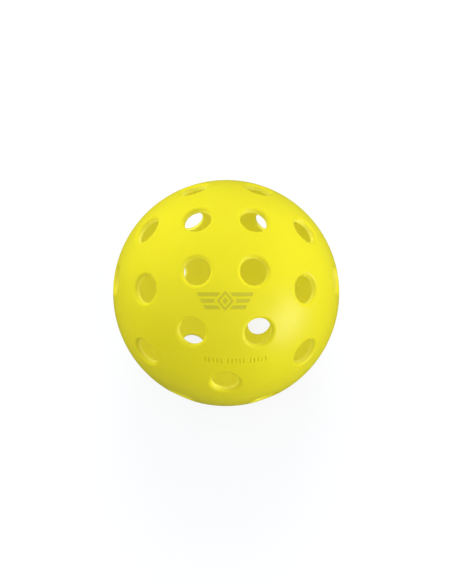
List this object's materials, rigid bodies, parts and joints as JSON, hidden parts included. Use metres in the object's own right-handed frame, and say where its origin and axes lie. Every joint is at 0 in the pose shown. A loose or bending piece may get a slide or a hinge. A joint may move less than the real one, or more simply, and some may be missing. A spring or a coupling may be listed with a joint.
{
  "type": "pickleball ball",
  "caption": "Hollow moulded plastic ball with evenly spaced round air holes, made of two half shells welded at the equator.",
  "frame": {"origin": "the centre of the ball", "axes": "+Z along the moulding axis, from the lower half to the upper half, normal to the weld plane z = 0; -Y towards the inlaid mark; +X to the right when looking along +Y"},
  "size_m": [0.074, 0.074, 0.074],
  "materials": {
    "shell_plastic": "satin moulded polyethylene, optic yellow, slightly translucent",
    "weld_plastic": "remelted polyethylene of the same colour",
    "mark_ink": "matt olive marking ink"
  },
  "bodies": {
    "root": {"upper_half_shell": "shell_plastic", "lower_half_shell": "shell_plastic", "weld_bead": "weld_plastic", "inlaid_mark": "mark_ink"}
  },
  "joints": []
}
